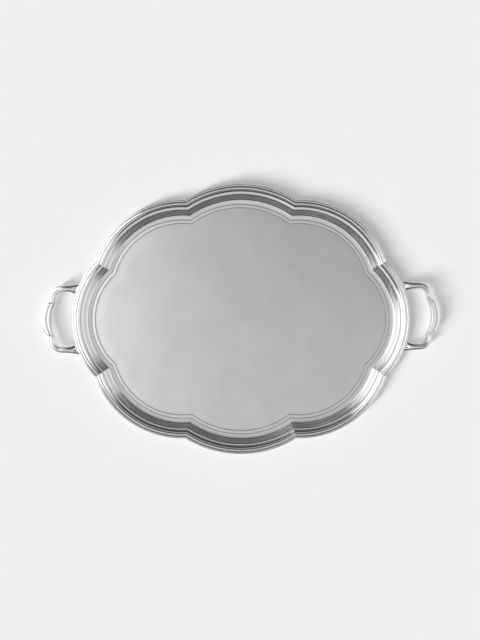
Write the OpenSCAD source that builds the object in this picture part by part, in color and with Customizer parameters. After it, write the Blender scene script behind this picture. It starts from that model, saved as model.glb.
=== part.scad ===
// Oval serving tray with a lobed outline, a mitred moulded border and two fixed cast handles.
// Origin: middle of the flat underside, on the surface that the tray stands on. X is the length
// through the handles, Y is the width, Z is up. Every line of the tray runs parallel to the edge,
// so a profile is drawn by its inset, which is the distance inwards from the outer edge.

/* [Outline] */
// Length of the tray without its handles
body_l = 527; // [519:1:535]
// Width of the tray
body_w = 421; // [414:1:428]
// Radius of the two long lobes, at the front and the back
long_lobe_r = 164.5; // [161:0.5:169]
// Radius of the two lobes at the ends
end_lobe_r = 130; // [127:0.5:133]
// Radius of the four corner lobes
corner_lobe_r = 144.5; // [142:0.5:147]
// Distance from the middle of the tray to a corner lobe's centre, along the length
corner_x = 91; // [89:0.5:93]
// Distance from the middle of the tray to a corner lobe's centre, along the width
corner_y = 41.5; // [40:0.5:43]

/* [Plate] */
// Thickness of the sheet
sheet_t = 1.6; // [1.2:0.1:2]
// Height of the flange's upper face
flange_z = 12; // [10:0.5:15]
// Inset of the flange's edge, which the border hides
flange_inset = 2; // [1.5:0.1:2.5]
// Inset of the top of the wall
wall_top_inset = 15.4; // [15.2:0.1:16.5]
// Inset of the foot of the wall
wall_foot_inset = 23.8; // [23:0.1:24]
// How far the foot of the wall stands above the well
wall_foot_rise = 0.9; // [0.9:0.1:1.2]
// How far the ring around the well rises towards the wall
ring_rise = 0.7; // [0.5:0.05:0.75]
// Inset of the ring's outer edge
ring_inset = 24.4; // [24.3:0.1:27]
// Insets of the two lines engraved around the well
line_outer_inset = 30.8; // [30:0.1:32]
line_inner_inset = 36.2; // [35:0.1:38]
// Width of an engraved line
line_w = 1.1; // [0.8:0.1:1.4]
// Depth of an engraved line
line_depth = 0.45; // [0.3:0.05:0.6]

/* [Border] */
// Width of the moulded border
border_w = 14.8; // [14.7:0.1:14.9]
// Radius of the bead along the outer edge
bead_r = 2.1; // [2:0.05:2.2]
// Inset and radius of the broad, low reed
reed_inset = 6.3; // [6.2:0.1:6.4]
reed_r = 3.6; // [3.5:0.05:3.7]
// Inset and radius of the fine thread inside the reed
thread_inset = 9.5; // [9.4:0.05:9.6]
thread_r = 1; // [0.95:0.05:1.05]
// Radius of the hollow between the thread and the lip
cove_r = 7.85; // [7.8:0.05:7.9]

/* [Handles] */
// Length of the tray over its handles
overall_l = 620; // [616:1:626]
// Height of the top of the handles
handle_z = 17; // [16:0.5:19]
// Width of a handle over its shoulders
handle_w = 104.4; // [102:0.2:107]
// Radius of the outside of a shoulder
shoulder_r = 19.9; // [19:0.1:21]
// Width of the grip at its middle
grip_w = 12.4; // [11:0.1:13.5]
// Half the width of the middle lobe of the grip
grip_half = 26.8; // [26:0.1:27.5]
// Width of each end of a handle, along the border
end_w = 15; // [13:0.5:16]
// How far each handle sits off the centre line towards the back, because they are fitted by eye
left_handle_shift = -0.5; // [-5:0.5:5]
right_handle_shift = 4.5; // [-5:0.5:5]

/* [Hidden] */
$fn = 200;
profile_fn = 40;
eps = 0.02;

// The lobes, counter-clockwise from the right-hand end: centre x, centre y, radius, node name.
end_x = body_l / 2 - end_lobe_r;
long_y = body_w / 2 - long_lobe_r;
LOBES = [
    [end_x, 0, end_lobe_r, "border_right"],
    [corner_x, corner_y, corner_lobe_r, "border_back_right"],
    [0, long_y, long_lobe_r, "border_back"],
    [-corner_x, corner_y, corner_lobe_r, "border_back_left"],
    [-end_x, 0, end_lobe_r, "border_left"],
    [-corner_x, -corner_y, corner_lobe_r, "border_front_left"],
    [0, -long_y, long_lobe_r, "border_front"],
    [corner_x, -corner_y, corner_lobe_r, "border_front_right"]
];
lobe_count = len(LOBES);

// Plate: the underside is the upper face moved through the sheet.
flange_under_z = flange_z - sheet_t;
wall_foot_z = sheet_t + wall_foot_rise;
wall_slope = atan2(flange_z - wall_foot_z, wall_foot_inset - wall_top_inset);
under_top_inset = wall_top_inset - sheet_t * tan(wall_slope / 2);
under_foot_inset = under_top_inset + flange_under_z / tan(wall_slope);
wall_bow = 0.3;
wall_steps = 8;

// Border: heights of the centres of the rounds, and of the hollow, which ends almost level at the lip.
bead_z = flange_z + 0.5;
reed_z = flange_z - 0.1;
thread_z = flange_z + 1.7;
body_top_z = thread_z + 0.5;
lip_z = flange_z + 0.25;
cove_inset = border_w + 0.55;
cove_z = lip_z + sqrt(cove_r * cove_r - pow(cove_inset - border_w, 2));
border_top_z = reed_z + reed_r;
edge_inset = 0.4;

// Handles
tongue_l = 9;
tongue_t = 2;
tongue_narrowing = 1.5;
tip_z = flange_z + 1.8;
climb_l = 24;
arm_under_l = 22;
arm_under_z = 6.6;
grip_under_z = 7.2;
shoulder_y = handle_w / 2 - shoulder_r;
shoulder_x = overall_l / 2 - 32.4;
arm_start_x = shoulder_x - 9;
arm_w = 8.8;
neck_w = 6.9;
grip_bulge = 15;
tip_outer_y = 54.5;
inner_cusp = [overall_l / 2 - 19.3, grip_half];
inner_bow = overall_l / 2 - grip_w - inner_cusp[0];
inner_bow_r = (grip_half * grip_half + inner_bow * inner_bow) / (2 * inner_bow);
tip_steps = 8;
arm_steps = 3;
shoulder_steps = 14;
grip_steps = 12;

function lerp(a, b, t) = a + (b - a) * t;
function clamp01(t) = max(0, min(1, t));
function smooth(t) = let (c = clamp01(t)) c * c * (3 - 2 * c);
function centre(i) = [LOBES[i][0], LOBES[i][1]];

// The outer crossing of lobe i and the next one, both drawn at the same inset.
function cusp(i, inset) =
    let (
        j = (i + 1) % lobe_count,
        a = centre(i),
        b = centre(j),
        ra = LOBES[i][2] - inset,
        rb = LOBES[j][2] - inset,
        gap = norm(b - a),
        along = (gap * gap + ra * ra - rb * rb) / (2 * gap),
        off = sqrt(ra * ra - along * along),
        e = (b - a) / gap
    )
    a + along * e + off * [e[1], -e[0]];

// A mitre line runs from deep inside the tray, through the cusp, to well outside.
function mitre_in(i) = cusp(i, 50);
function mitre_out(i) =
    let (p = cusp(i, 0), q = mitre_in(i))
    p + 60 * (p - q) / norm(p - q);

// ---- Plate ----

// The part of the plan between the two mitre lines of lobe i.
module lobe_sector(i) {
    before = (i + lobe_count - 1) % lobe_count;
    polygon([mitre_in(before), mitre_out(before), mitre_out(i), mitre_in(i)]);
}

// One face of the wall, from the foot to the lip: hollow at the foot and full at the lip.
function wall_points(r, foot_inset, foot_z, top_inset, top_z) = [
    for (k = [0 : wall_steps])
        let (t = k / wall_steps)
        [r - lerp(foot_inset, top_inset, t), lerp(foot_z, top_z, t) - wall_bow * sin(360 * t)]
];

// Solid dish of one lobe, from its underside up to the flange.
module lobe_dish(i) {
    r = LOBES[i][2];
    translate(centre(i))
        rotate_extrude()
            polygon(concat(
                [[0, 0]],
                wall_points(r, under_foot_inset, 0, under_top_inset, flange_under_z),
                [
                    [r - flange_inset, flange_under_z],
                    [r - flange_inset, flange_z],
                    [0, flange_z]
                ]
            ));
}

// The hollow that is taken out of one lobe: well, ring and wall.
module lobe_hollow(i) {
    r = LOBES[i][2];
    translate(centre(i))
        rotate_extrude()
            polygon(concat(
                [
                    [0, sheet_t],
                    [r - line_outer_inset, sheet_t],
                    [r - ring_inset, sheet_t + ring_rise]
                ],
                wall_points(r, wall_foot_inset, wall_foot_z, wall_top_inset, flange_z),
                [
                    [r - wall_top_inset, flange_z + 1],
                    [0, flange_z + 1]
                ]
            ));
}

// One engraved line along lobe i.
module lobe_line(i, inset) {
    r = LOBES[i][2] - inset;
    intersection() {
        translate(centre(i))
            rotate_extrude()
                polygon([
                    [r - line_w / 2, sheet_t + eps],
                    [r, sheet_t - line_depth],
                    [r + line_w / 2, sheet_t + eps]
                ]);
        linear_extrude(height = sheet_t + 1) lobe_sector(i);
    }
}

module tray_plate() {
    color("silver")
        difference() {
            union() {
                for (i = [0 : lobe_count - 1]) lobe_dish(i);
            }
            for (i = [0 : lobe_count - 1]) lobe_hollow(i);
            for (i = [0 : lobe_count - 1]) {
                lobe_line(i, line_outer_inset);
                lobe_line(i, line_inner_inset);
            }
        }
}

// ---- Border ----

// Section of the border, with its outer edge at x = 0 and the inset running along -x.
module border_profile() {
    difference() {
        union() {
            translate([-bead_r, bead_z]) circle(r = bead_r, $fn = profile_fn);
            translate([-thread_inset, thread_z]) circle(r = thread_r, $fn = profile_fn);
            intersection() {
                translate([-reed_inset, reed_z]) circle(r = reed_r, $fn = profile_fn);
                translate([-border_w, flange_z]) square([border_w, border_top_z - flange_z]);
            }
            polygon([
                [-edge_inset, flange_under_z],
                [-edge_inset, bead_z],
                [-reed_inset, bead_z],
                [-thread_inset, body_top_z],
                [-border_w, body_top_z],
                [-border_w, flange_z],
                [-flange_inset, flange_z],
                [-flange_inset, flange_under_z]
            ]);
        }
        translate([-cove_inset, cove_z]) circle(r = cove_r, $fn = profile_fn);
    }
}

// The length of border along lobe i, cut to its two mitres.
module border_piece(i) {
    color("gainsboro")
        intersection() {
            translate(centre(i))
                rotate_extrude()
                    translate([LOBES[i][2], 0]) border_profile();
            linear_extrude(height = border_top_z + 5) lobe_sector(i);
        }
}

// ---- Handles ----

// Where the border's outer edge is at a height y on the plan, at the right-hand end.
function edge_x(y) = end_x + sqrt(end_lobe_r * end_lobe_r - y * y);

// Points on an elliptical arc, given its centre, its two radii and its angles.
function arc(mid, radii, from, to, steps) = [
    for (k = [0 : steps])
        let (a = lerp(from, to, k / steps))
        [mid[0] + radii[0] * cos(a), mid[1] + radii[1] * sin(a)]
];

// Section of a handle: how far across from the outside, and how far up, both from 0 to 1. A broad,
// low round, a groove, a fine bead along the inside and a flat underside with rounded corners.
SECTION = concat(
    arc([0.43, 0.22], [0.60, 0.78], 136, 68, 8),
    arc([0.845, 0.80], [0.155, 0.15], 165, 0, 5),
    arc([0.80, 0.30], [0.20, 0.30], 0, -90, 3),
    arc([0.22, 0.40], [0.22, 0.40], -90, -150, 2)
);

// Heights of the upper and lower faces at a distance x along the tray. The upper face climbs away
// from the border and is level beyond climb_l.
function top_z(x, start) =
    lerp(tip_z, handle_z, sin(90 * clamp01((x - start) / climb_l)));
function under_z(x, start) =
    lerp(flange_under_z - tongue_t, arm_under_z, smooth((x - start) / arm_under_l))
    + (grip_under_z - arm_under_z) * smooth((x - arm_start_x) / (overall_l / 2 - arm_start_x));

// The two edges of half a handle, from the border to the middle of the grip. Each entry is the
// outer point and the inner point of one section.
function tip_pairs(side, shift) =
    let (
        outer_y = tip_outer_y,
        inner_y = tip_outer_y - end_w,
        outer = [edge_x(side * outer_y + shift), outer_y],
        inner = [edge_x(side * inner_y + shift), inner_y],
        arm_outer = [arm_start_x, handle_w / 2],
        arm_inner = [arm_start_x, handle_w / 2 - arm_w]
    )
    [
        for (k = [0 : tip_steps])
            let (t = k / tip_steps)
            [
                [lerp(outer[0], arm_outer[0], t), lerp(outer[1], arm_outer[1], sin(90 * t))],
                [lerp(inner[0], arm_inner[0], t), lerp(inner[1], arm_inner[1], sin(90 * t))]
            ]
    ];

arm_pairs = [
    for (k = [1 : arm_steps])
        let (x = lerp(arm_start_x, shoulder_x, k / arm_steps))
        [[x, handle_w / 2], [x, handle_w / 2 - arm_w]]
];

shoulder_pairs = [
    for (k = [1 : shoulder_steps])
        let (
            a = 90 * (1 - k / shoulder_steps),
            dir = [cos(a), sin(a)],
            inner_r = shoulder_r - lerp(neck_w, arm_w, a / 90),
            mid = [shoulder_x, shoulder_y]
        )
        [mid + shoulder_r * dir, mid + inner_r * dir]
];

// The notch between a shoulder and the middle lobe falls on the first pair.
grip_pairs = [
    for (k = [0 : grip_steps])
        let (
            a = 80 * (1 - k / grip_steps),
            y = grip_half * sin(a) / sin(80),
            outer_x = overall_l / 2 - grip_bulge * (1 - cos(a)),
            inner_x = overall_l / 2 - grip_w - inner_bow_r + sqrt(inner_bow_r * inner_bow_r - y * y)
        )
        [[outer_x, y], [inner_x, y]]
];

function half_pairs(side, shift) =
    [for (p = concat(tip_pairs(side, shift), arm_pairs, shoulder_pairs, grip_pairs))
        [[p[0][0], side * p[0][1] + shift], [p[1][0], side * p[1][1] + shift]]];

// One section as points in space. Where flat is 1 it becomes the plain slab of the tongue.
function section_ring(pair, low, high, flat) = [
    for (s = SECTION)
        let (
            p = lerp(pair[0], pair[1], s[0]),
            up = lerp(s[1], s[1] > 0.3 ? 1 : 0, flat)
        )
        [p[0], p[1], lerp(low, high, up)]
];

// The tongue runs in under the flange, square to the border.
function tongue_pair(pair, depth) =
    let (
        narrow = depth > 0 ? tongue_narrowing : 0,
        out = (pair[0] + pair[1]) / 2 - centre(0),
        inward = -out / norm(out) * depth,
        across = (pair[1] - pair[0]) / norm(pair[1] - pair[0])
    )
    [pair[0] + inward + narrow * across, pair[1] + inward - narrow * across];

function half_rings(side, shift) =
    let (
        pairs = half_pairs(side, shift),
        start = (pairs[0][0][0] + pairs[0][1][0]) / 2,
        low = flange_under_z - tongue_t
    )
    concat(
        [
            section_ring(tongue_pair(pairs[0], tongue_l), low, flange_under_z, 1),
            section_ring(tongue_pair(pairs[0], tongue_l - 1.5), low, flange_under_z, 1),
            section_ring(tongue_pair(pairs[0], eps), low, flange_under_z, 1)
        ],
        [
            for (p = pairs)
                let (x = (p[0][0] + p[1][0]) / 2)
                section_ring(p, under_z(x, start), top_z(x, start), 0)
        ]
    );

function reversed(list) = [for (k = [len(list) - 1 : -1 : 0]) list[k]];

// A closed skin over a row of rings that all have the same number of points.
module skin(rings) {
    n = len(rings[0]);
    m = len(rings);
    polyhedron(
        points = [for (ring = rings) each ring],
        faces = concat(
            [[for (k = [0 : n - 1]) k]],
            [
                for (j = [0 : m - 2], k = [0 : n - 1])
                    let (next = (k + 1) % n)
                    [j * n + k, (j + 1) * n + k, (j + 1) * n + next, j * n + next]
            ],
            [[for (k = [n - 1 : -1 : 0]) (m - 1) * n + k]]
        )
    );
}

// A right-hand handle, shifted along the border.
module handle(shift) {
    back = half_rings(1, shift);
    front = reversed(half_rings(-1, shift));
    skin(concat(back, [for (k = [1 : len(front) - 1]) front[k]]));
}

module right_handle() {
    color("lightgray") handle(right_handle_shift);
}

module left_handle() {
    color("lightgray") mirror([1, 0, 0]) handle(left_handle_shift);
}

tray_plate();
border_piece(0);  // border_right
border_piece(1);  // border_back_right
border_piece(2);  // border_back
border_piece(3);  // border_back_left
border_piece(4);  // border_left
border_piece(5);  // border_front_left
border_piece(6);  // border_front
border_piece(7);  // border_front_right
left_handle();
right_handle();
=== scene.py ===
"""Looks of the lobed serving tray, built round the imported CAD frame.

Lengths are in millimetres, as in the CAD, and mesh_piece() turns them into metres. Every line of the
tray runs parallel to its edge, so a profile is a list of (inset, height) points, where the inset is the
distance inwards from the outer edge, and a piece is that profile carried round the lobes.
"""
import math

import bpy
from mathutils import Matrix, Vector, noise


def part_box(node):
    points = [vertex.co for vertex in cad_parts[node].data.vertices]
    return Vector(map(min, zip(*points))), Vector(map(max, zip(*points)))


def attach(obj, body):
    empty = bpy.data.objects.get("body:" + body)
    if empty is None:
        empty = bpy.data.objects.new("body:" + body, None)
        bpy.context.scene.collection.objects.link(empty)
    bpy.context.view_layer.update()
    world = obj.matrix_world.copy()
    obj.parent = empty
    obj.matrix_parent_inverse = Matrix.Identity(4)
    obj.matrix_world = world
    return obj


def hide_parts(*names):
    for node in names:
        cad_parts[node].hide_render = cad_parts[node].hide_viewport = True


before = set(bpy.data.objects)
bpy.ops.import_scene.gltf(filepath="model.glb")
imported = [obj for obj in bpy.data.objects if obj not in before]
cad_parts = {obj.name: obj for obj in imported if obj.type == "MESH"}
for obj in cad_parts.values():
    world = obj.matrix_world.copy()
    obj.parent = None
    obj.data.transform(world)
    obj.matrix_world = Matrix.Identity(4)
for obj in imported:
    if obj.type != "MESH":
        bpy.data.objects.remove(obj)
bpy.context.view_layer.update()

MM = 0.001

# ---------------------------------------------------------------- driving dimensions


def box_mm(node):
    """Lowest and highest corner of a CAD node, in millimetres."""
    low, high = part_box(node)
    return [v / MM for v in low], [v / MM for v in high]


BODY_L = box_mm("border_right")[1][0] * 2
BODY_W = box_mm("border_back")[1][1] * 2
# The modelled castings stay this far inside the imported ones, at each end.
CASTING_INSET = 0.05
OVERALL_L = (box_mm("right_handle")[1][0] - CASTING_INSET) * 2
FLANGE_Z = box_mm("tray_plate")[1][2]

# Radii of the lobes and the centres of the corner ones.
LONG_R = 164.5
END_R = 130.0
CORNER_R = 144.5
CORNER_X = 91.0
CORNER_Y = 41.5

# Plate: thicknesses and heights, and the insets of the flange, the wall, the ring and the two lines.
SHEET_T = 1.6
FLANGE_INSET = 2.0
WALL_TOP = 15.4
WALL_FOOT = 23.8
WALL_FOOT_RISE = 0.9
WALL_BOW = 0.3
RING_INSET = 24.4
RING_RISE = 0.7
LINE_OUTER = 30.8
LINE_INNER = 36.2
LINE_W = 1.1
LINE_DEPTH = 0.45
BORDER_W = 14.8

FLANGE_UNDER = FLANGE_Z - SHEET_T
WALL_FOOT_Z = SHEET_T + WALL_FOOT_RISE

END_X = BODY_L / 2 - END_R
LONG_Y = BODY_W / 2 - LONG_R
# Lobes, counter-clockwise from the right-hand end: centre, radius and the CAD node of the border there.
LOBES = [
    (Vector((END_X, 0)), END_R, "border_right"),
    (Vector((CORNER_X, CORNER_Y)), CORNER_R, "border_back_right"),
    (Vector((0, LONG_Y)), LONG_R, "border_back"),
    (Vector((-CORNER_X, CORNER_Y)), CORNER_R, "border_back_left"),
    (Vector((-END_X, 0)), END_R, "border_left"),
    (Vector((-CORNER_X, -CORNER_Y)), CORNER_R, "border_front_left"),
    (Vector((0, -LONG_Y)), LONG_R, "border_front"),
    (Vector((CORNER_X, -CORNER_Y)), CORNER_R, "border_front_right"),
]
STEPS_PER_LOBE = 80


# ---------------------------------------------------------------- small helpers


def lerp(a, b, t):
    return a + (b - a) * t


def smooth(t):
    t = max(0.0, min(1.0, t))
    return t * t * (3 - 2 * t)


def cusp(i, inset):
    """Outer crossing of lobe i and the next one, both drawn at the same inset."""
    a, ra, _ = LOBES[i % len(LOBES)]
    b, rb, _ = LOBES[(i + 1) % len(LOBES)]
    ra, rb = ra - inset, rb - inset
    gap = (b - a).length
    along = (gap * gap + ra * ra - rb * rb) / (2 * gap)
    off = math.sqrt(ra * ra - along * along)
    e = (b - a) / gap
    return a + along * e + off * Vector((e.y, -e.x))


def lobe_arc(i, inset):
    """Points along lobe i at an inset, from one cusp to the next, both included."""
    c, r, _ = LOBES[i]
    start, end = cusp(i - 1, inset) - c, cusp(i, inset) - c
    a0 = math.atan2(start.y, start.x)
    sweep = (math.atan2(end.y, end.x) - a0) % (2 * math.pi)
    angles = [a0 + sweep * k / STEPS_PER_LOBE for k in range(STEPS_PER_LOBE + 1)]
    return [c + (r - inset) * Vector((math.cos(a), math.sin(a))) for a in angles]


def outline(inset):
    """The whole outline at an inset, as one closed row of points."""
    return [p for i in range(len(LOBES)) for p in lobe_arc(i, inset)[:-1]]


def arc_points(centre, radius, start, end, steps):
    """Points (inset, height) on an arc of the profile, angles in degrees, 0 along growing inset."""
    return [
        (
            centre[0] + radius * math.cos(math.radians(lerp(start, end, k / steps))),
            centre[1] + radius * math.sin(math.radians(lerp(start, end, k / steps))),
        )
        for k in range(steps + 1)
    ]


def circle_cross(c0, r0, c1, r1):
    """Upper crossing of two circles of the profile."""
    d = math.dist(c0, c1)
    along = (d * d + r0 * r0 - r1 * r1) / (2 * d)
    off = math.sqrt(r0 * r0 - along * along)
    ex, ey = (c1[0] - c0[0]) / d, (c1[1] - c0[1]) / d
    both = [(c0[0] + along * ex - s * off * ey, c0[1] + along * ey + s * off * ex) for s in (1, -1)]
    return max(both, key=lambda p: p[1])


def angle_of(centre, point):
    """Direction of a point of the profile from a centre, in degrees from 0 to 360."""
    return math.degrees(math.atan2(point[1] - centre[1], point[0] - centre[0])) % 360


def mesh_piece(name, points, faces, materials, face_slots=None, sharp_angle=32):
    """A smooth-shaded mesh object from points in millimetres, creased where it turns sharply."""
    mesh = bpy.data.meshes.new(name)
    mesh.from_pydata([Vector(p) * MM for p in points], [], faces)
    for material in materials:
        mesh.materials.append(material)
    if face_slots:
        mesh.polygons.foreach_set("material_index", face_slots)
    mesh.validate()
    mesh.shade_smooth()
    mesh.set_sharp_from_angle(angle=math.radians(sharp_angle))
    piece = bpy.data.objects.new(name, mesh)
    bpy.context.scene.collection.objects.link(piece)
    return piece


def belong(piece, node):
    """The piece stands for a CAD node, whose own mesh it hides, and rides on the tray."""
    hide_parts(node)
    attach(piece, "root")


# ---------------------------------------------------------------- camera

# The camera looks straight down over AIM, and the picture is FRAME_H high at the height REFERENCE_Z.
FRAME_H = 994.6
REFERENCE_Z = 17
CAMERA_Z = 2017
SENSOR = 36
AIM = Vector((-1.2, -1.4))


def make_camera():
    data = bpy.data.cameras.new("camera")
    data.sensor_width = SENSOR
    data.lens = SENSOR * (CAMERA_Z - REFERENCE_Z) / FRAME_H
    data.clip_start = 0.01
    camera = bpy.data.objects.new("camera", data)
    camera.location = Vector((AIM.x, AIM.y, CAMERA_Z)) * MM
    bpy.context.scene.collection.objects.link(camera)
    bpy.context.scene.camera = camera


make_camera()


# ---------------------------------------------------------------- node helpers


def wire(tree, value, socket):
    """Feeds a number or another node's output into a socket."""
    if isinstance(value, (int, float)):
        socket.default_value = value
    else:
        tree.links.new(value, socket)


def calc(tree, operation, *values):
    """Result of a Math node on numbers or other nodes' outputs."""
    node = tree.nodes.new("ShaderNodeMath")
    node.operation = operation
    for value, socket in zip(values, node.inputs):
        wire(tree, value, socket)
    return node.outputs[0]


def ramp_between(tree, value, low, high, to_low=0.0, to_high=1.0):
    """Smooth step of a value from low to high."""
    node = tree.nodes.new("ShaderNodeMapRange")
    node.interpolation_type = "SMOOTHSTEP"
    wire(tree, value, node.inputs["Value"])
    node.inputs["From Min"].default_value = low
    node.inputs["From Max"].default_value = high
    node.inputs["To Min"].default_value = to_low
    node.inputs["To Max"].default_value = to_high
    return node.outputs[0]


def along_axis(tree, vector, axis):
    """How far a vector goes along a unit axis."""
    node = tree.nodes.new("ShaderNodeVectorMath")
    node.operation = "DOT_PRODUCT"
    tree.links.new(vector, node.inputs[0])
    node.inputs[1].default_value = axis
    return node.outputs["Value"]


# ---------------------------------------------------------------- studio light

# Brightness of the paper in the picture and share of the light that it gives back.
PALE = 0.855
FLOOR_ALBEDO = 0.80

# What the metal reflects besides the window and the card: the walls and the parts of the ceiling.
WALL_LIGHT = 0.07
CEILING_LIGHT = 0.55
BACK_CEILING_LIGHT = 0.10
FRONT_GLOW = 0.07
WINDOW_GLOW = 0.30
# Heights, as cosines of the zenith angle, between which the walls give way to the ceiling.
CEILING_EDGE = (0.56, 0.80)

# The pale card on the right: azimuth, zenith, radius and softness in degrees, then brightness.
CARD = (0, 70, 37, 7, 0.92)
# The window: azimuth and zenith in degrees, distance in metres, half sizes in degrees, brightness.
WINDOW = (166, 58, 1.0, 35, 37, 1.30)

# Suns for the floor: one overhead, and a row at growing zenith angles that throws the shadow.
OVERHEAD_SHARE = 0.49
OVERHEAD_SPREAD = 5
SHADOW_AZIMUTH = 216
SHADOW_SPREAD = 12
SHADOW_ZENITHS = (41, 52, 61, 69)


def direction(azimuth, zenith):
    """Unit vector: azimuth in degrees from +X towards +Y, zenith in degrees down from straight up."""
    a, z = math.radians(azimuth), math.radians(zenith)
    return Vector((math.cos(a) * math.sin(z), math.sin(a) * math.sin(z), math.cos(z)))


def soft_disc(tree, sky, azimuth, zenith, radius, soft, strength):
    """Light of a round card with a soft edge at an infinite distance, sizes in degrees."""
    outer = math.cos(math.radians(radius + soft))
    inner = math.cos(math.radians(radius - soft))
    return ramp_between(tree, along_axis(tree, sky, direction(azimuth, zenith)), outer, inner, 0, strength)


def mix_numbers(tree, share, low, high):
    """From low to high as the share goes from 0 to 1."""
    node = tree.nodes.new("ShaderNodeMix")
    node.data_type = "FLOAT"
    for value, socket in zip((share, low, high), (node.inputs[0], node.inputs[2], node.inputs[3])):
        wire(tree, value, socket)
    return node.outputs[0]


def make_world():
    """What the metal reflects away from the window. The floor doesn't see it, and the camera sees paper."""
    world = bpy.data.worlds.new("studio")
    bpy.context.scene.world = world
    world.use_nodes = True
    world.cycles_visibility.diffuse = False
    tree = world.node_tree
    tree.nodes.clear()
    sky = tree.nodes.new("ShaderNodeTexCoord").outputs["Generated"]
    north = along_axis(tree, sky, (0, 1, 0))
    west = along_axis(tree, sky, (-1, 0, 0))
    height = along_axis(tree, sky, (0, 0, 1))
    # The ceiling: even overhead, a little brighter towards the front and dark towards the back.
    ceiling = ramp_between(tree, north, 0.14, 0.40, CEILING_LIGHT, BACK_CEILING_LIGHT)
    ceiling = calc(tree, "ADD", ceiling, ramp_between(tree, north, -0.10, -0.35, 0, FRONT_GLOW))
    # The glow around the window.
    ceiling = calc(tree, "ADD", ceiling, ramp_between(tree, west, 0.02, 0.40, 0, WINDOW_GLOW))
    light = mix_numbers(tree, ramp_between(tree, height, *CEILING_EDGE), WALL_LIGHT, ceiling)
    light = calc(tree, "MAXIMUM", light, soft_disc(tree, sky, *CARD))
    seen = tree.nodes.new("ShaderNodeLightPath").outputs["Is Camera Ray"]
    shader = tree.nodes.new("ShaderNodeBackground")
    shader.inputs["Color"].default_value = (1, 1, 1, 1)
    tree.links.new(mix_numbers(tree, seen, light, PALE), shader.inputs["Strength"])
    out = tree.nodes.new("ShaderNodeOutputWorld")
    tree.links.new(shader.outputs[0], out.inputs["Surface"])
    bpy.context.scene.view_settings.view_transform = "Standard"


def add_light(name, data, place):
    """A light that points at the tray, hidden from the camera."""
    light = bpy.data.objects.new(name, data)
    light.location = place
    light.rotation_euler = place.to_track_quat("Z", "Y").to_euler()
    light.visible_camera = False
    bpy.context.scene.collection.objects.link(light)
    return light


def add_panel(name, azimuth, zenith, distance, half_w, half_h, radiance):
    """An oval panel that only the metal reflects: angles in degrees from the tray, distance in metres."""
    data = bpy.data.lights.new(name, "AREA")
    data.shape = "ELLIPSE"
    data.size = 2 * distance * math.tan(math.radians(half_w))
    data.size_y = 2 * distance * math.tan(math.radians(half_h))
    area = math.pi / 4 * data.size * data.size_y
    data.energy = math.pi * area * radiance
    panel = add_light(name, data, distance * direction(azimuth, zenith))
    panel.visible_diffuse = False


def add_sun(name, azimuth, zenith, spread, share):
    """A distant light that only the floor sees, giving a share of the floor's brightness."""
    data = bpy.data.lights.new(name, "SUN")
    data.energy = share * PALE * math.pi / (FLOOR_ALBEDO * math.cos(math.radians(zenith)))
    data.angle = math.radians(spread)
    sun = add_light(name, data, direction(azimuth, zenith))
    sun.visible_glossy = False


make_world()
add_panel("window_panel", *WINDOW)
add_sun("overhead_light", 0, 0, OVERHEAD_SPREAD, OVERHEAD_SHARE)
shadow_share = (1 - OVERHEAD_SHARE) / len(SHADOW_ZENITHS)
for zenith in SHADOW_ZENITHS:
    add_sun("shadow_light_%d" % zenith, SHADOW_AZIMUTH, zenith, SHADOW_SPREAD, shadow_share)


# ---------------------------------------------------------------- floor

FLOOR_HALF = 4000


def make_floor():
    """Plain pale paper."""
    material = bpy.data.materials.new("paper")
    material.use_nodes = True
    shader = material.node_tree.nodes["Principled BSDF"]
    shader.inputs["Base Color"].default_value = (FLOOR_ALBEDO,) * 3 + (1,)
    shader.inputs["Roughness"].default_value = 0.9
    shader.inputs["Specular IOR Level"].default_value = 0.1
    h = FLOOR_HALF
    corners = [(-h, -h, 0), (h, -h, 0), (h, h, 0), (-h, h, 0)]
    floor = mesh_piece("floor", corners, [(0, 1, 2, 3)], [material])


make_floor()


# ---------------------------------------------------------------- metals

ROUGHNESS_SWING = 0.02
# Where the painted shade towards the back starts and where it is full, in metres towards the back.
BACK_SHADE_Y = (-0.15, 0.17)
# Hairlines are a noise squeezed across the tray, so that they run along it, and their depth in millimetres.
HAIRLINE_STRETCH = (40, 2600, 40)
HAIRLINE_DEPTH = 0.1

def noise_texture(tree, vector, scale, detail):
    node = tree.nodes.new("ShaderNodeTexNoise")
    node.inputs["Scale"].default_value = scale
    node.inputs["Detail"].default_value = detail
    tree.links.new(vector, node.inputs["Vector"])
    return node


def add_bump(tree, shader, height, strength, distance):
    """Gives the surface a relief, distance in millimetres."""
    bump = tree.nodes.new("ShaderNodeBump")
    bump.inputs["Strength"].default_value = strength
    bump.inputs["Distance"].default_value = distance * MM
    tree.links.new(height, bump.inputs["Height"])
    tree.links.new(bump.outputs["Normal"], shader.inputs["Normal"])


def mottled_tint(tree, place, colour, mottling):
    """The colour, varied by `mottling` in soft clouds."""
    cloud = noise_texture(tree, place, 14, 5)
    cloud.inputs["Roughness"].default_value = 0.6
    ramp = tree.nodes.new("ShaderNodeValToRGB")
    for stop, position, offset in zip(ramp.color_ramp.elements, (0.3, 0.7), (-mottling, mottling)):
        stop.position = position
        stop.color = tuple(c + offset for c in colour) + (1,)
    tree.links.new(cloud.outputs["Fac"], ramp.inputs["Fac"])
    return ramp.outputs["Color"]


def painted_back_shade_tint(tree, place, tint, back_shade_factor):
    """The tint, darkened from the front of the tray to the back by the given factor: painted shade, standing
    in for the dimmer light that the back reflects.
    """
    split = tree.nodes.new("ShaderNodeSeparateXYZ")
    tree.links.new(place, split.inputs[0])
    scale = tree.nodes.new("ShaderNodeVectorMath")
    scale.operation = "SCALE"
    tree.links.new(tint, scale.inputs[0])
    wire(tree, ramp_between(tree, split.outputs["Y"], *BACK_SHADE_Y, 1.0, back_shade_factor), scale.inputs["Scale"])
    return scale.outputs[0]


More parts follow.
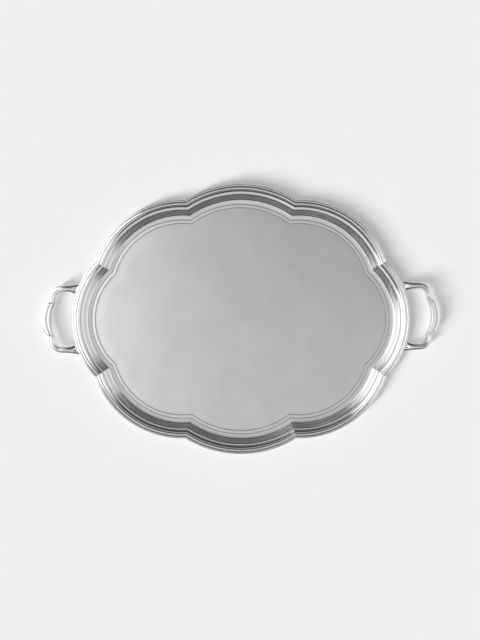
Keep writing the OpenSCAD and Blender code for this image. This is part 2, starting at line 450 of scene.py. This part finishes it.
def metal(name, colour, roughness, mottling=0.012, hairline=0.0, wave=0.0, back_shade_factor=1.0):
    """Silver-grey metal with slight mottling and uneven polish. It can have hairline marks or a
    hand-beaten wave, which is in millimetres, and it can have shade painted in, darker towards the back by a
    factor."""
    material = bpy.data.materials.new(name)
    material.use_nodes = True
    tree = material.node_tree
    shader = tree.nodes["Principled BSDF"]
    shader.inputs["Metallic"].default_value = 1.0
    place = tree.nodes.new("ShaderNodeTexCoord").outputs["Object"]

    tint = mottled_tint(tree, place, colour, mottling)
    # Painted shade: the tint grows darker towards the back of the tray.
    if back_shade_factor != 1.0:
        tint = painted_back_shade_tint(tree, place, tint, back_shade_factor)
    tree.links.new(tint, shader.inputs["Base Color"])

    wear = noise_texture(tree, place, 55, 4).outputs["Fac"]
    least, most = roughness - ROUGHNESS_SWING, roughness + ROUGHNESS_SWING
    tree.links.new(ramp_between(tree, wear, 0.3, 0.7, least, most), shader.inputs["Roughness"])

    if wave:
        beaten = noise_texture(tree, place, 30, 2)
        add_bump(tree, shader, beaten.outputs["Fac"], 1.0, wave)
    if hairline:
        stretch = tree.nodes.new("ShaderNodeMapping")
        stretch.inputs["Scale"].default_value = HAIRLINE_STRETCH
        tree.links.new(place, stretch.inputs["Vector"])
        lines = noise_texture(tree, stretch.outputs[0], 1, 3)
        add_bump(tree, shader, lines.outputs["Fac"], hairline, HAIRLINE_DEPTH)
    return material


# The well's tint has painted shade, darker towards the back.
SATIN = metal("satin_plate", (0.81, 0.81, 0.81), 0.38, mottling=0.035, hairline=0.2, back_shade_factor=0.87)
RING = metal("satin_ring", (0.84, 0.84, 0.84), 0.32)
POLISHED = metal("polished_plate", (0.86, 0.86, 0.86), 0.18, wave=0.8)
ENGRAVED = metal("engraved_line", (0.52, 0.52, 0.52), 0.55)
UNDERSIDE = metal("underside_plate", (0.74, 0.74, 0.73), 0.38, mottling=0.03)
BORDER = metal("border_polish", (0.87, 0.87, 0.87), 0.14, wave=0.25)
HANDLE = metal("handle_polish", (0.88, 0.88, 0.87), 0.20)


# ---------------------------------------------------------------- tray plate

# The well swells by WELL_RISE from the inner line to WELL_EDGE, and has a faint wave inside that.
WELL_EDGE = 52.0
# Distance from the inner line at which the swell starts.
WELL_MARGIN = 0.8
WELL_RISE = 0.2
WELL_SHOULDER_STEPS = 8
WELL_RINGS = 14
WELL_WAVE = 0.05
WAVE_LENGTH = 70.0
WAVE_SLICE = 0.3
# The band between the two lines is flat up to this far from the middle of each.
BAND_MARGIN = 1.5
# An engraved line: how far its edges are rolled, across and down, and half the width of its floor.
GROOVE_ROLL = 0.12
GROOVE_LIP = 0.03
GROOVE_FLOOR_HALF = 0.12
RING_STEPS = 6
RING_CURVE = 1.6
# The wall stops this far short of the flange, both ways, and turns over into it.
LIP_ROUND = 0.3
UNDER_MARGIN = 1.5
(SLOT_SATIN, SLOT_RING, SLOT_POLISHED, SLOT_ENGRAVED, SLOT_UNDER) = range(5)


def engraved_groove(inset, half, depth, z):
    """Points of one engraved line, from the inside outwards, with slightly rolled edges."""
    return [
        (inset + half + GROOVE_ROLL, z, SLOT_POLISHED),
        (inset + half, z - GROOVE_LIP, SLOT_ENGRAVED),
        (inset + GROOVE_FLOOR_HALF, z - depth, SLOT_ENGRAVED),
        (inset - GROOVE_FLOOR_HALF, z - depth, SLOT_ENGRAVED),
        (inset - half, z - GROOVE_LIP, SLOT_ENGRAVED),
        (inset - half - GROOVE_ROLL, z, SLOT_POLISHED),
    ]


def wall_profile(foot, foot_z, top, top_z, slot, steps=24):
    """One face of the wall, hollow at the foot and full at the lip."""
    return [
        (
            lerp(foot, top, k / steps),
            lerp(foot_z, top_z, k / steps) - WALL_BOW * math.sin(2 * math.pi * k / steps),
            slot,
        )
        for k in range(steps + 1)
    ]


def plate_profile():
    """The plate from the well outwards, round the flange and back underneath, with a slot a step."""
    slope = math.atan2(FLANGE_Z - WALL_FOOT_Z, WALL_FOOT - WALL_TOP)
    under_top = WALL_TOP - SHEET_T * math.tan(slope / 2)
    under_foot = under_top + FLANGE_UNDER / math.tan(slope)
    top = []
    for k in range(WELL_SHOULDER_STEPS + 1):
        t = 1 - k / WELL_SHOULDER_STEPS
        inset = lerp(LINE_INNER + WELL_MARGIN, WELL_EDGE, t)
        top.append((inset, SHEET_T + WELL_RISE * smooth(t), SLOT_SATIN))
    top += engraved_groove(LINE_INNER, LINE_W / 2, LINE_DEPTH, SHEET_T)
    top += [(inset, SHEET_T, SLOT_RING) for inset in (LINE_INNER - BAND_MARGIN, LINE_OUTER + BAND_MARGIN)]
    top += engraved_groove(LINE_OUTER, LINE_W / 2, LINE_DEPTH, SHEET_T)
    for k in range(1, RING_STEPS + 1):
        t = k / RING_STEPS
        inset = lerp(LINE_OUTER - LINE_W, RING_INSET, t)
        top.append((inset, SHEET_T + RING_RISE * t ** RING_CURVE, SLOT_RING))
    top += wall_profile(WALL_FOOT, WALL_FOOT_Z, WALL_TOP + LIP_ROUND, FLANGE_Z - LIP_ROUND, SLOT_POLISHED)
    top += [(WALL_TOP + 0.08, FLANGE_Z - 0.07, SLOT_POLISHED), (WALL_TOP - 0.2, FLANGE_Z, SLOT_POLISHED)]
    edge = [(FLANGE_INSET, FLANGE_Z, SLOT_POLISHED), (FLANGE_INSET, FLANGE_UNDER, SLOT_UNDER)]
    under = [(under_top - UNDER_MARGIN, FLANGE_UNDER, SLOT_UNDER)]
    under += wall_profile(under_top, FLANGE_UNDER, under_foot, 0, SLOT_UNDER)
    under += [(under_foot + UNDER_MARGIN, 0, SLOT_UNDER), (WELL_EDGE, 0, SLOT_UNDER)]
    return top + edge + under


def make_plate():
    """The plate as one closed shell: the profile round the lobes, and shrinking rings across the well."""
    profile = plate_profile()
    rings = [[(p.x, p.y, z) for p in outline(inset)] for inset, z, _ in profile]
    slots = [slot for _, _, slot in profile]
    edge = outline(WELL_EDGE)
    count = len(edge)

    def well_height(x, y, share):
        """Height of the well at x, y, on a ring that is `share` of the well's edge."""
        swing = noise.noise(Vector((x / WAVE_LENGTH, y / WAVE_LENGTH, WAVE_SLICE)))
        return SHEET_T + WELL_RISE + WELL_WAVE * swing * smooth(4 * (1 - share))

    upper, lower = [], []
    for k in range(1, WELL_RINGS):
        share = 1 - k / WELL_RINGS
        upper.append([(p.x * share, p.y * share, well_height(p.x * share, p.y * share, share)) for p in edge])
        lower.append([(p.x * share, p.y * share, 0) for p in edge])
    rings = upper[::-1] + rings + lower
    slots = [SLOT_SATIN] * len(upper) + slots + [SLOT_UNDER] * len(lower)

    points = [p for ring in rings for p in ring]
    faces, face_slots = [], []
    for j in range(len(rings) - 1):
        for k in range(count):
            n = (k + 1) % count
            faces.append((j * count + k, (j + 1) * count + k, (j + 1) * count + n, j * count + n))
            engraved = SLOT_ENGRAVED in slots[j:j + 2]
            face_slots.append(max(slots[j], slots[j + 1]) if engraved else slots[j])
    top_middle, low_middle = len(points), len(points) + 1
    points += [(0, 0, well_height(0, 0, 0)), (0, 0, 0)]
    last = (len(rings) - 1) * count
    for k in range(count):
        n = (k + 1) % count
        faces += [(top_middle, k, n), (low_middle, last + n, last + k)]
        face_slots += [SLOT_SATIN, SLOT_UNDER]
    plate = mesh_piece("plate_shell", points, faces, [SATIN, RING, POLISHED, ENGRAVED, UNDERSIDE], face_slots)
    belong(plate, "tray_plate")


make_plate()


# ---------------------------------------------------------------- border

# The rounds and the hollow of the section: centre (inset, height) and radius. The hollow ends at the
# height LIP_Z, and its centre lies COVE_REACH beyond the border's inner edge.
BEAD = ((2.1, FLANGE_Z + 0.5), 2.1)
REED = ((6.3, FLANGE_Z - 0.1), 3.6)
THREAD = ((9.5, FLANGE_Z + 1.7), 1.0)
LIP_Z = FLANGE_Z + 0.25
COVE_R = 7.85
COVE_REACH = 0.55
COVE = ((BORDER_W + COVE_REACH, LIP_Z + math.sqrt(COVE_R**2 - COVE_REACH**2)), COVE_R)
EDGE_INSET = 0.4


def border_profile():
    """Closed section of the border: bead, reed, thread and hollow over a flat back."""
    bead_reed = circle_cross(*BEAD, *REED)
    reed_thread = circle_cross(*REED, *THREAD)
    thread_cove = circle_cross(*THREAD, *COVE)
    outside = 180 + math.degrees(math.acos((BEAD[0][0] - EDGE_INSET) / BEAD[1]))
    inner_end = 270 - math.degrees(math.asin((COVE[0][0] - BORDER_W) / COVE[1]))
    points = [(EDGE_INSET, FLANGE_UNDER)]
    points += arc_points(*BEAD, outside, angle_of(BEAD[0], bead_reed), 16)
    points += arc_points(*REED, angle_of(REED[0], bead_reed), angle_of(REED[0], reed_thread), 16)[1:]
    points += arc_points(*THREAD, angle_of(THREAD[0], reed_thread), angle_of(THREAD[0], thread_cove), 10)[1:]
    points += arc_points(*COVE, angle_of(COVE[0], thread_cove), inner_end, 12)[1:]
    points += [(BORDER_W, FLANGE_Z), (FLANGE_INSET, FLANGE_Z), (FLANGE_INSET, FLANGE_UNDER)]
    return points


def make_border(i):
    """The moulding of lobe i, from one cusp to the next, closed at its two mitres."""
    profile = border_profile()
    rows = [lobe_arc(i, inset) for inset, _ in profile]
    width = STEPS_PER_LOBE + 1
    points = [(p.x, p.y, z) for row, (_, z) in zip(rows, profile) for p in row]
    m = len(profile)
    faces = []
    for j in range(m):
        n = (j + 1) % m
        for k in range(width - 1):
            faces.append((j * width + k, j * width + k + 1, n * width + k + 1, n * width + k))
    faces.append([j * width for j in range(m)])
    faces.append([j * width + width - 1 for j in reversed(range(m))])
    node = LOBES[i][2]
    belong(mesh_piece(node + "_moulding", points, faces, [BORDER]), node)


for lobe in range(len(LOBES)):
    make_border(lobe)


# ---------------------------------------------------------------- handles

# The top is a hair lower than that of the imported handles. The shifts are towards the back.
HANDLE_TOP_Z = 16.9
HANDLE_W = 104.4
SHOULDER_R = 19.9
GRIP_W = 12.4
GRIP_HALF = 26.8
END_W = 15.0
HANDLE_SHIFTS = {"left_handle": -0.5, "right_handle": 4.5}

TONGUE_L = 9.0
TONGUE_T = 2.0
TONGUE_GAP = 0.02
# Stations of a tongue: how far in under the flange, how much narrower a side and thinner a face.
TONGUE_STATIONS = ((TONGUE_L, 2.2, 0.35), (TONGUE_L - 0.6, 1.7, 0), (0.3, 1.3, 0))
# Points of the section above this share of its height are on the tongue's upper face.
TONGUE_SPLIT = 0.35

TIP_Z = FLANGE_Z + 1.8
TIP_OVERLAP = 0.6
ARM_UNDER_L = 22.0
ARM_UNDER_Z = 6.6
GRIP_UNDER_Z = 7.2
CLIMB_L = 24.0
SHOULDER_Y = HANDLE_W / 2 - SHOULDER_R
SHOULDER_X = OVERALL_L / 2 - 32.4
ARM_START_X = SHOULDER_X - 9
ARM_W = 8.8
NECK_W = 6.9
GRIP_BULGE = 15.0
GRIP_SWEEP = 80
TIP_OUTER_Y = 54.5
INNER_CUSP_X = OVERALL_L / 2 - 19.3
INNER_BOW = OVERALL_L / 2 - GRIP_W - INNER_CUSP_X
INNER_BOW_R = (GRIP_HALF ** 2 + INNER_BOW ** 2) / (2 * INNER_BOW)
# Dips in the upper face: the notch beside the middle lobe, and the seam at the border.
NOTCH_DIP = 1.2
NOTCH_REACH = 3.5
SEAM_DIP = 0.8
SEAM_REACH = 1.2
FLUTE_DEPTH = 0.22
# How far the bead along the inside has grown at the start of a shoulder, from 0 to 1.
SHOULDER_BEAD = 0.4
TIP_STEPS = 28
ARM_STEPS = 8
SHOULDER_STEPS = 36
GRIP_STEPS = 40


def ellipse_arc(centre, radii, start, end, steps):
    """Points (across, up) on an elliptical arc of a handle's section."""
    turns = [math.radians(lerp(start, end, k / steps)) for k in range(steps + 1)]
    return [(centre[0] + radii[0] * math.cos(a), centre[1] + radii[1] * math.sin(a)) for a in turns]


def handle_section(bead, flute):
    """Section of a handle, both ways from 0 to 1, outside first: with the bead along the inside as far
    as `bead` goes from 0 to 1, and with a flute along the top as far as `flute` does."""
    beaded = ellipse_arc((0.43, 0.22), (0.60, 0.78), 136, 68, 20)
    beaded += ellipse_arc((0.845, 0.80), (0.155, 0.15), 165, 0, 14)
    plain = ellipse_arc((0.5, 0.27), (0.70, 0.73), 135.6, 44.4, len(beaded) - 1)
    upper = [(lerp(p[0], b[0], bead), lerp(p[1], b[1], bead)) for p, b in zip(plain, beaded)]
    depth = flute * FLUTE_DEPTH
    upper = [(u, v - depth * v * math.cos(math.pi * (2 * u - 1)) ** 2) for u, v in upper]
    lower = ellipse_arc((0.80, 0.30), (0.20, 0.30), -10, -90, 6)
    lower += ellipse_arc((0.22, 0.40), (0.22, 0.40), -90, -165, 6)
    return upper + lower


def edge_x(y):
    """Where the border's outer edge is at a width y, at the right-hand end."""
    return END_X + math.sqrt(END_R ** 2 - y * y)


def half_handle(side, shift):
    """Stations from the border to the middle of the grip: outer point, inner point, bead and flute."""
    stations = []
    outer_tip = (edge_x(side * TIP_OUTER_Y + shift), TIP_OUTER_Y)
    inner_tip = (edge_x(side * (TIP_OUTER_Y - END_W) + shift), TIP_OUTER_Y - END_W)
    for k in range(TIP_STEPS + 1):
        t = k / TIP_STEPS
        turn = math.sin(math.pi / 2 * t)
        outer = (lerp(outer_tip[0], ARM_START_X, t), lerp(outer_tip[1], HANDLE_W / 2, turn))
        inner = (lerp(inner_tip[0], ARM_START_X, t), lerp(inner_tip[1], HANDLE_W / 2 - ARM_W, turn))
        stations.append((outer, inner, 0, 1 - smooth(1.6 * t)))
    for k in range(1, ARM_STEPS + 1):
        t = k / ARM_STEPS
        x = lerp(ARM_START_X, SHOULDER_X, t)
        stations.append(((x, HANDLE_W / 2), (x, HANDLE_W / 2 - ARM_W), SHOULDER_BEAD * smooth(t), 0))
    for k in range(1, SHOULDER_STEPS + 1):
        t = k / SHOULDER_STEPS
        a = math.pi / 2 * (1 - t)
        inner_r = SHOULDER_R - lerp(ARM_W, NECK_W, t)
        ends = [(SHOULDER_X + r * math.cos(a), SHOULDER_Y + r * math.sin(a)) for r in (SHOULDER_R, inner_r)]
        stations.append((*ends, lerp(SHOULDER_BEAD, 1, smooth(2 * t)), 0))
    for k in range(GRIP_STEPS + 1):
        a = math.radians(GRIP_SWEEP * (1 - k / GRIP_STEPS))
        y = GRIP_HALF * math.sin(a) / math.sin(math.radians(GRIP_SWEEP))
        outer = (OVERALL_L / 2 - GRIP_BULGE * (1 - math.cos(a)), y)
        inner = (OVERALL_L / 2 - GRIP_W - INNER_BOW_R + math.sqrt(INNER_BOW_R ** 2 - y * y), y)
        stations.append((outer, inner, 1, 0))
    return stations


def handle_heights(x, y, start):
    """Lowest and highest point of a section at x, y, for a handle that leaves the border at x = start."""
    reach = OVERALL_L / 2
    climb = min(1, max(0, (x - start) / CLIMB_L))
    top = lerp(TIP_Z, HANDLE_TOP_Z, math.sin(math.pi / 2 * climb))
    top -= NOTCH_DIP * (1 - smooth(abs(y - GRIP_HALF) / NOTCH_REACH))
    top -= SEAM_DIP * (1 - smooth(abs(x - start - SEAM_REACH) / SEAM_REACH))
    low = lerp(FLANGE_UNDER - TONGUE_T, ARM_UNDER_Z, smooth((x - start) / ARM_UNDER_L))
    low += (GRIP_UNDER_Z - ARM_UNDER_Z) * smooth((x - ARM_START_X) / (reach - ARM_START_X))
    return low, top


def towards_tray(outer, inner):
    """Unit vector from the middle of a handle's end to the centre of the lobe, square to the border."""
    return (Vector((END_X, 0)) - (outer + inner) / 2).normalized()


def tongue_rings(outer, inner):
    """The flat tongue that runs in under the flange, from its inner end outwards."""
    inward = towards_tray(outer, inner)
    across = (inner - outer).normalized()
    shape = handle_section(0, 0)
    rings = []
    for depth, narrow, shrink in TONGUE_STATIONS:
        a = outer + inward * depth + across * narrow
        b = inner + inward * depth - across * narrow
        low = FLANGE_UNDER - TONGUE_T + shrink
        high = FLANGE_UNDER - TONGUE_GAP - shrink
        rings.append([(*a.lerp(b, u), high if v > TONGUE_SPLIT else low) for u, v in shape])
    return rings


def half_rings(side, shift):
    """Rings of points of half a handle, from the tongue to the middle of the grip."""
    placed = []
    for o, i, bead, flute in half_handle(side, shift):
        outer, inner = (Vector((x, side * y + shift)) for x, y in (o, i))
        placed.append((outer, inner, abs((o[1] + i[1]) / 2), bead, flute))
    outer, inner, y, bead, flute = placed[0]
    start = (outer.x + inner.x) / 2
    rings = tongue_rings(outer, inner)
    inward = towards_tray(outer, inner) * TIP_OVERLAP
    placed.insert(0, (outer + inward, inner + inward, y, bead, flute))
    for outer, inner, y, bead, flute in placed:
        low, high = handle_heights((outer.x + inner.x) / 2, y, start)
        rings.append([(*outer.lerp(inner, u), lerp(low, high, v)) for u, v in handle_section(bead, flute)])
    return rings


def make_handle(node, mirror):
    """A handle at the right-hand end, or mirrored to the left-hand one where `mirror` is -1."""
    shift = HANDLE_SHIFTS[node]
    rings = half_rings(1, shift) + half_rings(-1, shift)[-2::-1]
    width = len(rings[0])
    points = [(mirror * x, y, z) for ring in rings for x, y, z in ring]
    faces = [
        (j * width + k, (j + 1) * width + k, (j + 1) * width + (k + 1) % width, j * width + (k + 1) % width)
        for j in range(len(rings) - 1)
        for k in range(width)
    ]
    last = (len(rings) - 1) * width
    faces += [list(range(width)), [last + k for k in reversed(range(width))]]
    if mirror > 0:
        faces = [tuple(reversed(face)) for face in faces]
    belong(mesh_piece(node + "_casting", points, faces, [HANDLE], sharp_angle=40), node)


make_handle("left_handle", -1)
make_handle("right_handle", 1)
